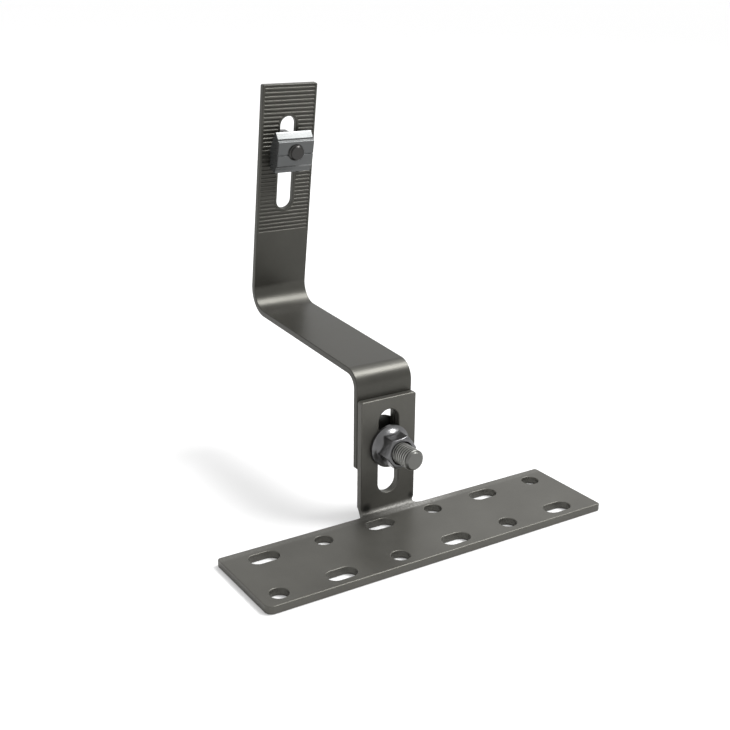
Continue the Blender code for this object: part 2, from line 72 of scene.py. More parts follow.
# Base bracket, one folded sheet
NEUTRAL_SHARE = 0.44
SHEET = 3.8 * MM
PLATE_LENGTH = 180.0 * MM
PLATE_WIDTH = 47.5 * MM
PLATE_CORNER = 1.5 * MM
PLATE_ROUND_CORNER = 3.5 * MM
STRAP_WIDTH = 30.0 * MM
TAB_HEIGHT = 56.0 * MM
TAB_BEND = 2.0 * MM
TAB_CORNER = 1.0 * MM
RELIEF_RADIUS = 4.0 * MM
RELIEF_BITE = 0.8 * MM
TAB_SLOT_WIDTH = 11.1 * MM
TAB_SLOT_LENGTH = 41.9 * MM
TAB_SLOT_BOTTOM = 8.3 * MM
HOLE_DIAMETER = 8.3 * MM
HOLE_SLOT_LENGTH = 14.3 * MM
HOLE_PITCH = 30.0 * MM
HOLE_COLUMNS = 6
REAR_ROW_MARGIN = 9.75 * MM
FRONT_ROW_MARGIN = 8.25 * MM
REAR_ROW_SHIFT = 3.0 * MM
FRONT_ROW_SHIFT = -5.5 * MM
SHEET_EDGE = 0.55 * MM

# Hook arm, one bent bar
SEAT_GAP = 0.3 * MM
ARM_SHEET = 3.0 * MM
ARM_END_HEIGHT = 21.7 * MM
LOWER_LEG = 39.1 * MM
LOWER_BEND = 6.0 * MM
REACH = 82.8 * MM
REACH_RISE = math.radians(3.8)
UPPER_BEND = 10.0 * MM
UPPER_LEAN = math.radians(8.1)
UPPER_LEG = 103.3 * MM
ARM_CORNER = 0.8 * MM
ARM_EDGE = 0.4 * MM
ARM_SLOT_WIDTH = 10.5 * MM
ARM_SLOT_LENGTH = 26.0 * MM
ARM_SLOT_LAND = 5.2 * MM
ARM_SLOT_CORNER = 0.6 * MM
RAIL_SLOT_WIDTH = 8.8 * MM
RAIL_SLOT_LENGTH = 47.3 * MM
RAIL_SLOT_TOP = 15.7 * MM

# Serrated pad of the upper leg
GROOVES = 37
RIDGE_PITCH = 2.02 * MM
RIDGE_DEPTH = 0.45 * MM
FIRST_GROOVE = 1.25 * MM
PAD_MARGIN = 1.0 * MM
PAD_CORNER = 0.8 * MM
PAD_RAMP = 0.35 * MM
PAD_TOP_LAND = 0.3 * MM
# Shares of half the pitch: the ridge's round top, and its flank
RIDGE_TOP_SHARE = 0.22
RIDGE_FLANK_SHARE = 0.6

# Height bolt and its nut
BOLT_DIAMETER = 10.0 * MM
BOLT_LENGTH = 29.3 * MM
BOLT_TIP_RADIUS = 3.9 * MM
BOLT_PITCH = 1.5 * MM
BOLT_THREAD_DEPTH = 0.92 * MM
BOLT_HEAD_DIAMETER = 24.6 * MM
BOLT_HEAD_HEIGHT = 5.3 * MM
BOLT_HEAD_RIM = 1.0 * MM
BOLT_HEAD_RIM_START = math.radians(-60)
NECK_SIDE = 9.8 * MM
NECK_CORNER = 0.6 * MM
NECK_LENGTH = 5.6 * MM
BOLT_HEIGHT = 32.4 * MM
NUT_FLATS = 14.5 * MM
NUT_HEIGHT = 11.2 * MM
NUT_BORE = 5.15 * MM
NUT_COUNTERSINK = 0.75 * MM
NUT_CROWN_RADIUS = 6.9 * MM
FLANGE_DIAMETER = 21.0 * MM
FLANGE_RIM = 1.5 * MM
FLANGE_SLOPE = 3.0 * MM
# The flange's slope is straight at 1, and hollow below it
FLANGE_HOLLOW = 0.55
NUT_TURN = math.radians(6.5)
NUT_EDGE = 0.35 * MM
CROWN_SLOPE = math.radians(30)
# Heights up to which the nut's surface has so many steps
NUT_ZONES = (
    (FLANGE_RIM, 12), (FLANGE_RIM + 1.4 * FLANGE_SLOPE, 40), (NUT_HEIGHT - 1.5 * MM, 8), (NUT_HEIGHT, 24),
)

# Rail clamp, cut from an extrusion
CLAMP_LENGTH = 19.6 * MM
CLAMP_HEIGHT = 20.3 * MM
CLAMP_DEPTH = 8.9 * MM
CLAMP_FROM_TOP = 31.4 * MM
CLAMP_TEETH = 4
TOOTH_DEPTH = 0.5 * MM
CLAMP_GROOVE_WIDTH = 0.6 * MM
CLAMP_GROOVE_DEPTH = 0.5 * MM
CLAMP_EDGE = 0.12 * MM
CORNER_REACH_SHARE = 0.45
CLAMP_BORE = 4.15 * MM
CLAMP_OUTLINE_SHARES = (
    (-0.44, 0.0), (0.045, 0.0), (0.425, 0.40), (0.465, 0.46), (0.475, 0.54), (0.45, 0.60), (0.325, 0.83),
    (0.285, 0.845), (0.275, 0.97), (0.265, 1.0), (-0.325, 0.915), (-0.335, 0.89), (-0.385, 0.77),
    (-0.45, 0.73), (-0.515, 0.675), (-0.525, 0.63), (-0.51, 0.47),
)
CLAMP_GROOVE_SHARE = -0.055
CLAMP_FRONT_TOP_SHARES = (0.265, 1.0)
CLAMP_FRONT_BOTTOM_SHARES = (-0.325, 0.915)

# Clamp bolt and its washer
CLAMP_BOLT_DIAMETER = 8.0 * MM
CLAMP_BOLT_LENGTH = 16.0 * MM
CLAMP_BOLT_TIP_RADIUS = 3.1 * MM
CLAMP_BOLT_PITCH = 1.25 * MM
CLAMP_BOLT_THREAD_DEPTH = 0.77 * MM
CLAMP_BOLT_FLATS = 13.0 * MM
CLAMP_BOLT_HEAD = 5.3 * MM
CLAMP_BOLT_CROWN_RADIUS = 6.1 * MM
WASHER_DIAMETER = 15.0 * MM
WASHER_HOLE = 8.6 * MM
WASHER_THICKNESS = 1.6 * MM
WASHER_EDGE = 0.3 * MM

# Camera, fitted to the photograph
LENS = 54.73
SENSOR = 36.0
CAMERA_AZIMUTH = math.radians(-32.63)
CAMERA_ELEVATION = math.radians(19.195)
CAMERA_ROLL = math.radians(0.529)
CAMERA_DISTANCE = 502.74 * MM
AIM_HEIGHT = 73.8 * MM
AIM_RIGHT = -12.401 * MM
AIM_UP = 2.269 * MM
CLIP_START = 10.0 * MM
CLIP_END = 100.0

# Places that follow from the sizes above
HALF_WIDTH = PLATE_WIDTH / 2
PLATE_TOP = SHEET
TAB_FRONT = HALF_WIDTH + TAB_BEND
ARM_FRONT = TAB_FRONT + SHEET + SEAT_GAP
ARM_BACK = ARM_FRONT + ARM_SHEET
TAB_BEND_RUN = QUARTER_TURN * (TAB_BEND + NEUTRAL_SHARE * SHEET)
NUT_SEAT = SEAT_GAP + ARM_SHEET + SEAT_GAP + SHEET + SEAT_GAP
CLAMP_BOLT_SEAT = -ARM_SHEET - SEAT_GAP - WASHER_THICKNESS - SEAT_GAP
ARM_START = (0.0, ARM_END_HEIGHT - BOLT_HEIGHT)
LOWER_TURN = REACH_RISE - QUARTER_TURN
LEG_TILT = QUARTER_TURN + UPPER_LEAN
UPPER_TURN = LEG_TILT - REACH_RISE


# Outlines

def arc(centre, radius, start, end, steps):
    """Points from one angle to another, both ends included."""
    return [
        (centre[0] + radius * math.cos(start + (end - start) * i / steps),
         centre[1] + radius * math.sin(start + (end - start) * i / steps))
        for i in range(steps + 1)
    ]


def without_repeats(points):
    """Drop each point that lies on the one before it, where two arcs share an end."""
    kept = []
    for point in points:
        if not kept or math.dist(point, kept[-1]) > MERGE_DISTANCE:
            kept.append(point)
    if math.dist(kept[0], kept[-1]) <= MERGE_DISTANCE:
        kept.pop()
    return kept


def round_box(centre, width, height, corner, grow=0.0, steps=HOLE_STEPS):
    """A rectangle with round corners, every side moved out by grow."""
    reach_x = width / 2 - corner
    reach_y = height / 2 - corner
    corners = (
        (reach_x, -reach_y, -90), (reach_x, reach_y, 0), (-reach_x, reach_y, 90), (-reach_x, -reach_y, 180),
    )
    points = []
    for x, y, angle in corners:
        start = math.radians(angle)
        points += arc((centre[0] + x, centre[1] + y), corner + grow, start, start + QUARTER_TURN, steps)
    return without_repeats(points)


def box_depth(point, centre, width, height, corner):
    """How far a point lies inside a rectangle with round corners; negative outside."""
    x = abs(point[0] - centre[0]) - width / 2 + corner
    y = abs(point[1] - centre[1]) - height / 2 + corner
    outside = math.hypot(max(x, 0.0), max(y, 0.0))
    return corner - outside - min(max(x, y), 0.0)


def smooth_low(a, b, blend):
    """The lower of two values, with a rounded change-over."""
    near = max(blend - abs(a - b), 0.0) / blend
    return min(a, b) - near * near * blend / 4


def smooth_high(a, b, blend):
    """The higher of two values, with a rounded change-over."""
    return -smooth_low(-a, -b, blend)


def smooth_step(t):
    """0 to 1 with level ends."""
    t = min(max(t, 0.0), 1.0)
    return t * t * (3 - 2 * t)


def spread(low, high, count):
    """Values at equal steps from low up to the last before high."""
    return [low + (high - low) * i / count for i in range(count)]


# Meshes

def walls(bm, rings):
    """Faces between each closed ring of points and the next."""
    for first, second in zip(rings, rings[1:]):
        for i in range(len(first)):
            j = (i + 1) % len(first)
            bm.faces.new((first[i], first[j], second[j], second[i]))


def mesh_from(bm, name):
    """The bmesh as a mesh; the bmesh is freed."""
    mesh = bpy.data.meshes.new(name)
    bm.to_mesh(mesh)
    bm.free()
    return mesh


def smooth_mesh(bm, name, sharp):
    """The bmesh as a mesh that looks smooth, except at edges sharper than an angle in degrees."""
    mesh = mesh_from(bm, name)
    mesh.shade_smooth()
    mesh.set_sharp_from_angle(angle=math.radians(sharp))
    return mesh


def finish_mesh(bm, name, sharp=SHARP_EDGE):
    """A smooth mesh without doubled points or slivers, its faces turned outwards."""
    bmesh.ops.remove_doubles(bm, verts=bm.verts, dist=MERGE_DISTANCE)
    bmesh.ops.dissolve_degenerate(bm, edges=bm.edges, dist=MERGE_DISTANCE)
    bmesh.ops.recalc_face_normals(bm, faces=bm.faces)
    return smooth_mesh(bm, name, sharp)


def join(name, meshes):
    """One mesh from several closed ones."""
    bm = bmesh.new()
    for mesh in meshes:
        bm.from_mesh(mesh)
    return smooth_mesh(bm, name, SHARP_EDGE)


# Folded sheets

def edge_profile(thickness, rounding):
    """Depth, sideways pull-in and tilt of each ring from the face's rounded edge to the back's."""
    front = []
    for i in range(EDGE_STEPS + 1):
        angle = QUARTER_TURN * i / EDGE_STEPS
        front.append((rounding * (1 - math.cos(angle)), rounding * (1 - math.sin(angle)), angle))
    back = [(thickness - depth, pull, 2 * QUARTER_TURN - angle) for depth, pull, angle in reversed(front)]
    return front + back


def fill_between(bm, loops):
    """Flat faces between an outer loop of points and those inside it."""
    edges = []
    for loop in loops:
        for i in range(len(loop)):
            ends = (loop[i], loop[(i + 1) % len(loop)])
            edges.append(bm.edges.get(ends) or bm.edges.new(ends))
    made = bmesh.ops.triangle_fill(bm, edges=edges, use_beauty=True, normal=(0, 0, 1))
    return [item for item in made["geom"] if isinstance(item, bmesh.types.BMFace)]


def sheet_blank(loops_at, thickness, rounding):
    """The walls of a flat sheet with rounded edges, in x, run and height, and its first and last rings.

    loops_at(pull) gives the outline and then each hole, with every edge pulled into the material by pull.
    """
    bm = bmesh.new()
    layer = bm.verts.layers.float_vector.new("flat_normal")
    full = loops_at(0.0)
    inner = loops_at(rounding)
    rings = []
    for depth, pull, tilt in edge_profile(thickness, rounding):
        ring = []
        for loop, full_loop, inner_loop in zip(loops_at(pull), full, inner):
            verts = []
            for (x, run), far, near in zip(loop, full_loop, inner_loop):
                vert = bm.verts.new((x, run, -depth))
                out = Vector((far[0] - near[0], far[1] - near[1])).normalized() * math.sin(tilt)
                vert[layer] = (out.x, out.y, math.cos(tilt))
                verts.append(vert)
            ring.append(verts)
        rings.append(ring)
    for upper, lower in zip(rings, rings[1:]):
        for pair in zip(upper, lower):
            walls(bm, pair)
    return bm, layer, rings[0], rings[-1]


def fold_point(run, depth, start, heading, bends, thickness):
    """Where a point of the flat strip goes once the strip is bent, and the heading of the strip there.

    The strip's face leaves start at the angle heading from +Y. Each bend is (run, turn, inner radius). A
    positive turn closes on the face, and a negative one on the back.
    """
    y, z = start
    done = 0.0
    for bend_run, turn, radius in bends:
        if run <= bend_run:
            break
        y += math.cos(heading) * (bend_run - done)
        z += math.sin(heading) * (bend_run - done)
        length = abs(turn) * (radius + NEUTRAL_SHARE * thickness)
        turned = turn * min(run - bend_run, length) / length
        face_radius = radius if turn > 0 else -(radius + thickness)
        middle = (y - math.sin(heading) * face_radius, z + math.cos(heading) * face_radius)
        heading += turned
        y = middle[0] + math.sin(heading) * face_radius
        z = middle[1] - math.cos(heading) * face_radius
        done = min(run, bend_run + length)
    y += math.cos(heading) * (run - done) + math.sin(heading) * depth
    z += math.sin(heading) * (run - done) - math.cos(heading) * depth
    return y, z, heading


def cut_across(bm, runs, faces=None):
    """Cut a flat sheet, or only some of its faces, across at each run."""
    for run in runs:
        geom = bm.verts[:] + bm.edges[:] + bm.faces[:]
        if faces is not None:
            alive = [face for face in faces if face.is_valid]
            edges = list({edge for face in alive for edge in face.edges})
            verts = list({vert for face in alive for vert in face.verts})
            geom = verts + edges + alive
        made = bmesh.ops.bisect_plane(
            bm, geom=geom, dist=MERGE_DISTANCE, plane_co=(0, run, 0), plane_no=(0, 1, 0),
        )
        if faces is not None:
            faces = [item for item in made["geom"] if isinstance(item, bmesh.types.BMFace)]


def bend_cuts(bends, thickness):
    """The runs at which a strip is cut so that its bends look round."""
    runs = []
    for bend_run, turn, radius in bends:
        length = abs(turn) * (radius + NEUTRAL_SHARE * thickness)
        runs += [bend_run + length * i / BEND_STEPS for i in range(BEND_STEPS + 1)]
    return runs


def folded_mesh(bm, layer, name, start, heading, bends, thickness):
    """Bend the flat sheet, and give each point the normal of the true surface."""
    normals = []
    bmesh.ops.recalc_face_normals(bm, faces=bm.faces)
    for vert in bm.verts:
        flat = vert[layer].normalized()
        y, z, turned = fold_point(vert.co.y, -vert.co.z, start, heading, bends, thickness)
        vert.co = (vert.co.x, y, z)
        along = math.cos(turned) * flat.y - math.sin(turned) * flat.z
        out = math.sin(turned) * flat.y + math.cos(turned) * flat.z
        normals.append((flat.x, along, out))
    bm.verts.index_update()
    mesh = mesh_from(bm, name)
    mesh.shade_smooth()
    mesh.normals_split_custom_set_from_vertices(normals)
    return mesh


# Turned and threaded bodies

def grid_mesh(name, columns, closed_column):
    """A mesh through a ring of point columns; a closed column's last point meets its first."""
    bm = bmesh.new()
    verts = [[bm.verts.new(point) for point in column] for column in columns]
    count = len(columns[0])
    for i, here in enumerate(verts):
        there = verts[(i + 1) % len(verts)]
        for k in range(count if closed_column else count - 1):
            m = (k + 1) % count
            bm.faces.new((here[k], there[k], there[m], here[m]))
    return finish_mesh(bm, name)


def turned_columns(profile_at, steps):
    """Columns of points about Z; profile_at(angle) gives their radii and heights at that angle."""
    columns = []
    for i in range(steps):
        angle = math.radians(360) * i / steps
        columns.append([(r * math.cos(angle), r * math.sin(angle), h) for r, h in profile_at(angle)])
    return columns


def thread_radius(phase, crest, depth):
    """Radius of a thread whose roots lie at phase 0 and 1, with hollow flanks and a flat crest."""
    rise = 1 - abs(2 * phase - 1)
    flank = min(rise / THREAD_FLANK_SHARE, 1.0)
    return crest - depth * (1 - flank ** THREAD_HOLLOW)


def trim_ends(bm, low, high):
    """Cut a rod off square at both ends, and close it there."""
    for height, outward in ((low, -1), (high, 1)):
        made = bmesh.ops.bisect_plane(
            bm, geom=bm.verts[:] + bm.edges[:] + bm.faces[:], dist=MERGE_DISTANCE,
            plane_co=(0, 0, height), plane_no=(0, 0, outward), clear_outer=True,
        )
        rim = [item for item in made["geom_cut"] if isinstance(item, bmesh.types.BMEdge)]
        bmesh.ops.edgenet_fill(bm, edges=rim)
    loose = [vert for vert in bm.verts if not vert.link_faces]
    bmesh.ops.delete(bm, geom=loose, context="VERTS")


def threaded_rod(name, crest, depth, pitch, low, high, tip_radius):
    """A closed rod with a helical thread and a chamfered end at high."""
    bm = bmesh.new()
    turns = math.ceil((high - low) / pitch) + 2
    start = low - pitch
    columns = []
    for c in range(turns * THREAD_COLUMNS + 1):
        angle = math.radians(360) * c / THREAD_COLUMNS
        column = []
        for k in range(THREAD_ROWS):
            height = start + pitch * (c / THREAD_COLUMNS + k / THREAD_ROWS)
            radius = thread_radius(k / THREAD_ROWS, crest, depth)
            radius = max(min(radius, tip_radius + high - height), tip_radius - depth)
            column.append(bm.verts.new((radius * math.cos(angle), radius * math.sin(angle), height)))
        columns.append(column)
    for c in range((turns - 1) * THREAD_COLUMNS):
        here = columns[c] + [columns[c + THREAD_COLUMNS][0]]
        there = columns[c + 1] + [columns[c + 1 + THREAD_COLUMNS][0]]
        for k in range(THREAD_ROWS):
            bm.faces.new((here[k], there[k], there[k + 1], here[k + 1]))
    trim_ends(bm, low, high)
    return finish_mesh(bm, name, SHARP_THREAD_EDGE)


def hexagon_radius(angle, flats):
    """Distance from the axis to a hexagon's side, with rounded corners; a corner lies at angle 0."""
    sector = math.radians(60)
    within = angle % sector - sector / 2
    side = flats / 2 / math.cos(within)
    other_side = flats / 2 / math.cos(within - math.copysign(sector, within))
    return smooth_low(side, other_side, NUT_EDGE)


# Base bracket

def bracket_side(front_corner, pull):
    """The bracket's flat outline on one side, from the plate's front edge back to the tab's end."""
    half_length = PLATE_LENGTH / 2
    half_strap = STRAP_WIDTH / 2
    tab_end = PLATE_WIDTH + TAB_BEND_RUN + TAB_HEIGHT - TAB_BEND
    relief_x = half_strap - RELIEF_BITE + RELIEF_RADIUS
    relief_run = PLATE_WIDTH + RELIEF_RADIUS
    rear_middle = (half_length - PLATE_CORNER, PLATE_WIDTH - PLATE_CORNER)
    front_middle = (half_length - front_corner, front_corner)
    tab_middle = (half_strap - TAB_CORNER, tab_end - TAB_CORNER)
    relief_radius = RELIEF_RADIUS + pull
    # Where the tab's side meets the relief's circle
    meet = math.acos((relief_x - half_strap + pull) / relief_radius)
    relief_end = -2 * QUARTER_TURN - meet
    steps = HOLE_STEPS
    front = arc(front_middle, front_corner - pull, -QUARTER_TURN, 0, steps)
    rear = arc(rear_middle, PLATE_CORNER - pull, 0, QUARTER_TURN, steps)
    relief = arc((relief_x, relief_run), relief_radius, -QUARTER_TURN, relief_end, 2 * steps)
    corner = arc(tab_middle, TAB_CORNER - pull, 0, QUARTER_TURN, steps)
    return front + rear + relief + corner


def bracket_loops(pull):
    """The bracket's flat outline and holes; the corner at the front of its -X end is rounder."""
    right = bracket_side(PLATE_CORNER, pull)
    left = [(-x, run) for x, run in bracket_side(PLATE_ROUND_CORNER, pull)]
    outline = right + left[::-1]
    slot_run = PLATE_WIDTH + TAB_BEND_RUN + TAB_SLOT_BOTTOM - TAB_BEND + TAB_SLOT_LENGTH / 2
    slot = round_box((0, slot_run), TAB_SLOT_WIDTH, TAB_SLOT_LENGTH, TAB_SLOT_WIDTH / 2, pull)
    loops = [outline, slot]
    rows = (
        (FRONT_ROW_MARGIN, FRONT_ROW_SHIFT, 0),
        (PLATE_WIDTH - REAR_ROW_MARGIN, REAR_ROW_SHIFT, 1),
    )
    for run, shift, slotted_first in rows:
        for column in range(HOLE_COLUMNS):
            x = shift + (column - (HOLE_COLUMNS - 1) / 2) * HOLE_PITCH
            slotted = (column + slotted_first) % 2 == 1
            width = HOLE_SLOT_LENGTH if slotted else HOLE_DIAMETER
            loops.append(round_box((x, run), width, HOLE_DIAMETER, HOLE_DIAMETER / 2, pull))
    return loops


def bracket_mesh():
    """The plate with its tab bent up."""
    bm, layer, front, back = sheet_blank(bracket_loops, SHEET, SHEET_EDGE)
    fill_between(bm, front)
    fill_between(bm, back)
    bends = [(PLATE_WIDTH, QUARTER_TURN, TAB_BEND)]
    cut_across(bm, bend_cuts(bends, SHEET))
    return folded_mesh(bm, layer, "bracket_fine", (-HALF_WIDTH, PLATE_TOP), 0.0, bends, SHEET)


# Hook arm

def arm_bends():
    """The arm's two bends, as fold_point takes them."""
    lower_run = abs(LOWER_TURN) * (LOWER_BEND + NEUTRAL_SHARE * ARM_SHEET)
    lower = (LOWER_LEG, LOWER_TURN, LOWER_BEND)
    upper = (LOWER_LEG + lower_run + REACH, UPPER_TURN, UPPER_BEND)
    return [lower, upper]


def arm_length():
    """The bar's whole length before bending."""
    bend_run, turn, radius = arm_bends()[1]
    return bend_run + abs(turn) * (radius + NEUTRAL_SHARE * ARM_SHEET) + UPPER_LEG


def arm_loops(pull):
    """The bar's flat outline and its two slots."""
    length = arm_length()
    outline = round_box((0, length / 2), STRAP_WIDTH, length, ARM_CORNER, -pull)
    low_slot = (0, ARM_SLOT_LAND + ARM_SLOT_LENGTH / 2)
    rail_slot = (0, length - RAIL_SLOT_TOP - RAIL_SLOT_LENGTH / 2)
    return [
        outline,
        round_box(low_slot, ARM_SLOT_WIDTH, ARM_SLOT_LENGTH, ARM_SLOT_CORNER, pull),
        round_box(rail_slot, RAIL_SLOT_WIDTH, RAIL_SLOT_LENGTH, RAIL_SLOT_WIDTH / 2, pull),
    ]


def pad_places():
    """Middle, width, length and corner of the serrated pad, and of the plain margin round its slot."""
    length = arm_length()
    pad_length = GROOVES * RIDGE_PITCH
    pad_run = length - FIRST_GROOVE + RIDGE_PITCH / 2 - pad_length / 2 - PAD_TOP_LAND
    pad = ((0, pad_run), STRAP_WIDTH - 2 * PAD_MARGIN, pad_length, PAD_CORNER)
    width = RAIL_SLOT_WIDTH + 2 * PAD_MARGIN
    slot_run = length - RAIL_SLOT_TOP - RAIL_SLOT_LENGTH / 2
    margin = ((0, slot_run), width, RAIL_SLOT_LENGTH + 2 * PAD_MARGIN, width / 2)
    return pad, margin


def ridge_depth(point):
    """How deep the serrated face lies below the bar's face at a flat point."""
    pad, margin = pad_places()
    inside = min(box_depth(point, *pad), -box_depth(point, *margin))
    if inside <= 0:
        return 0.0
    down = arm_length() - point[1] - FIRST_GROOVE
    phase = (down / RIDGE_PITCH + 0.5) % 1.0
    # Ridge tops at phase 0 and 1, a rounded groove between them
    rise = 1 - abs(2 * phase - 1)
    groove = smooth_step((rise - RIDGE_TOP_SHARE) / RIDGE_FLANK_SHARE)
    return RIDGE_DEPTH * groove * smooth_step(inside / PAD_RAMP)


def ridge_normal(point):
    """The serrated face's direction at a flat point, from the depths just beside it."""
    x, run = point
    side = ridge_depth((x + SLOPE_STEP, run)) - ridge_depth((x - SLOPE_STEP, run))
    up = ridge_depth((x, run + SLOPE_STEP)) - ridge_depth((x, run - SLOPE_STEP))
    return side / SLOPE_STEP / 2, up / SLOPE_STEP / 2, 1


def ridge_cuts():
    """The runs that follow the ridges closely."""
    end = arm_length() - FIRST_GROOVE
    return [end - RIDGE_PITCH * i / RIDGE_STEPS for i in range(-RIDGE_STEPS // 2, GROOVES * RIDGE_STEPS)]


def ramp_rings(bm, layer):
    """Rings of points down the pad's ramp, then up the one to its slot's margin, from the outside in."""
    rings = []
    for place, sign in zip(pad_places(), (-1, 1)):
        for offset in (0.0, sign * PAD_RAMP / 2, sign * PAD_RAMP):
            rings.append([bm.verts.new((x, run, 0)) for x, run in round_box(*place, offset)])
    for ring in rings:
        for vert in ring:
            vert[layer] = (0, 0, 1)
    return rings[:3] + rings[:2:-1]


def press_grooves(bm, layer):
    """Lower the face's points into the grooves, and give them the grooves' direction."""
    for vert in bm.verts:
        point = (vert.co.x, vert.co.y)
        depth = ridge_depth(point) if vert.co.z == 0 else 0.0
        if depth > 0:
            vert.co.z = -depth
            vert[layer] = ridge_normal(point)


def arm_mesh():
    """The bent bar, with its grooves pressed in while it is flat."""
    bm, layer, front, back = sheet_blank(arm_loops, ARM_SHEET, ARM_EDGE)
    face, low_slot, rail_slot = front
    rings = ramp_rings(bm, layer) + [rail_slot]
    fill_between(bm, [face, low_slot, rings[0]])
    ridged = []
    for outer, inner in zip(rings, rings[1:]):
        ridged += fill_between(bm, [outer, inner])
    fill_between(bm, back)
    cut_across(bm, ridge_cuts(), ridged)
    press_grooves(bm, layer)
    cut_across(bm, bend_cuts(arm_bends(), ARM_SHEET))
    return folded_mesh(bm, layer, "arm_fine", ARM_START, QUARTER_TURN, arm_bends(), ARM_SHEET)


def leg_place(down):
    """The point on the upper leg's front face that lies so far down from the arm's end."""
    run = arm_length() - down
    y, z, _ = fold_point(run, 0.0, ARM_START, QUARTER_TURN, arm_bends(), ARM_SHEET)
    return Vector((0, ARM_FRONT + y, PLATE_TOP + BOLT_HEIGHT + z))


# Height bolt and nut

def round_head_profile():
    """Dome and rim of the bolt's head, from the middle of the dome to the seat."""
    radius = BOLT_HEAD_DIAMETER / 2
    rise = BOLT_HEAD_HEIGHT - BOLT_HEAD_RIM
    sphere = (radius ** 2 + rise ** 2) / (2 * rise)
    widest = math.asin(radius / sphere)
    points = []
    for angle in spread(0.0, widest, DOME_STEPS):
        points.append((sphere * math.sin(angle), -BOLT_HEAD_HEIGHT + sphere * (1 - math.cos(angle))))
    round_rim = BOLT_HEAD_RIM / 2
    rim_centre = (radius - round_rim, -round_rim)
    points += arc(rim_centre, round_rim, BOLT_HEAD_RIM_START, QUARTER_TURN, 2 * EDGE_STEPS)
    points.append((0, 0))
    return points


def height_bolt_mesh():
    """Round head, square neck and threaded shank."""
    profile = round_head_profile()
    head = grid_mesh("bolt_head", turned_columns(lambda angle: profile, TURN_STEPS), False)
    radius = BOLT_DIAMETER / 2
    start = NECK_LENGTH - BOLT_HEAD_RIM
    shank = threaded_rod(
        "bolt_shank", radius, BOLT_THREAD_DEPTH, BOLT_PITCH, start, BOLT_LENGTH, BOLT_TIP_RADIUS,
    )
    return join("height_bolt_fine", [head, neck_mesh(), shank])


def neck_mesh():
    """The bolt's square neck, with rounded edges."""
    bm = bmesh.new()
    rings = []
    top = NECK_LENGTH
    levels = (
        (-BOLT_HEAD_RIM / 2, 0.0), (top - NECK_CORNER / 2, 0.0),
        (top - NECK_CORNER / 8, NECK_CORNER / 8), (top, NECK_CORNER / 2),
    )
    for height, pull in levels:
        outline = round_box((0, 0), NECK_SIDE, NECK_SIDE, NECK_CORNER, -pull, NECK_CORNER_STEPS)
        rings.append([bm.verts.new((x, y, height)) for x, y in outline])
    walls(bm, rings)
    bm.faces.new(list(reversed(rings[0])))
    bm.faces.new(rings[-1])
    return finish_mesh(bm, "bolt_neck", SHARP_BLOCK_EDGE)


def nut_levels():
    """Heights of the points along the nut's side, closest where its shape changes most."""
    levels = []
    low = 0.0
    for high, steps in NUT_ZONES:
        levels += spread(low, high, steps)
        low = high
    return levels


def flange_radius(level):
    """The flange at a height above its seat: a rounded rim, then a slightly hollow slope."""
    rim = FLANGE_DIAMETER / 2
    edge = min(level, NUT_EDGE)
    round_rim = NUT_EDGE - math.sqrt(NUT_EDGE ** 2 - (NUT_EDGE - edge) ** 2)
    climb = max(level - FLANGE_RIM, 0.0) / FLANGE_SLOPE
    slope = rim - (rim - NUT_FLATS / 2) * climb ** FLANGE_HOLLOW
    return min(smooth_low(rim, slope, 2 * NUT_EDGE), rim - round_rim)


def nut_profile(angle):
    """Radius and height along the nut's surface at one angle, from the bore's back end to its front."""
    side = hexagon_radius(angle - NUT_TURN, NUT_FLATS)
    points = [(NUT_BORE, NUT_COUNTERSINK), (NUT_BORE + NUT_COUNTERSINK, 0.0)]
    for level in nut_levels():
        crown = NUT_CROWN_RADIUS + (NUT_HEIGHT - level) / math.tan(CROWN_SLOPE)
        body = smooth_low(side, crown, NUT_EDGE)
        points.append((smooth_high(flange_radius(level), body, 2 * NUT_EDGE), level))
    points.append((min(side, NUT_CROWN_RADIUS) - NUT_EDGE / 2, NUT_HEIGHT))
    points.append((NUT_BORE + NUT_COUNTERSINK, NUT_HEIGHT))
    points.append((NUT_BORE, NUT_HEIGHT - NUT_COUNTERSINK))
    return [(radius, NUT_SEAT + level) for radius, level in points]


def height_nut_mesh():
    """Hexagon nut with a conical flange."""
    return grid_mesh("height_nut_fine", turned_columns(nut_profile, NUT_STEPS), True)


# Rail clamp, bolt and washer

def clamp_teeth():
    """Notches in the block's back, which leave teeth as far apart as the leg's grooves."""
    points = []
    for i in range(CLAMP_TEETH):
        middle = RIDGE_PITCH * (i - CLAMP_TEETH)
        points += [(middle - TOOTH_DEPTH, SEAT_GAP), (middle, SEAT_GAP + TOOTH_DEPTH)]
        points.append((middle + TOOTH_DEPTH, SEAT_GAP))
    return points


def clamp_outline():
    """The block's end view, with the teeth at its back and the groove in its front face."""
    def at(shares):
        return (shares[0] * CLAMP_HEIGHT, SEAT_GAP + shares[1] * CLAMP_DEPTH)

    points = [at(shares) for shares in CLAMP_OUTLINE_SHARES[1:] + CLAMP_OUTLINE_SHARES[:1]]
    top = at(CLAMP_FRONT_TOP_SHARES)
    bottom = at(CLAMP_FRONT_BOTTOM_SHARES)
    middle = CLAMP_GROOVE_SHARE * CLAMP_HEIGHT
    groove = []
    for side, depth in ((1, 0), (1, 1), (-1, 1), (-1, 0)):
        y = middle + side * CLAMP_GROOVE_WIDTH / 2
        face = bottom[1] + (top[1] - bottom[1]) * (y - bottom[0]) / (top[0] - bottom[0])
        groove.append((y, face - depth * CLAMP_GROOVE_DEPTH))
    after_top = points.index(top) + 1
    return clamp_teeth() + points[:after_top] + groove + points[after_top:]


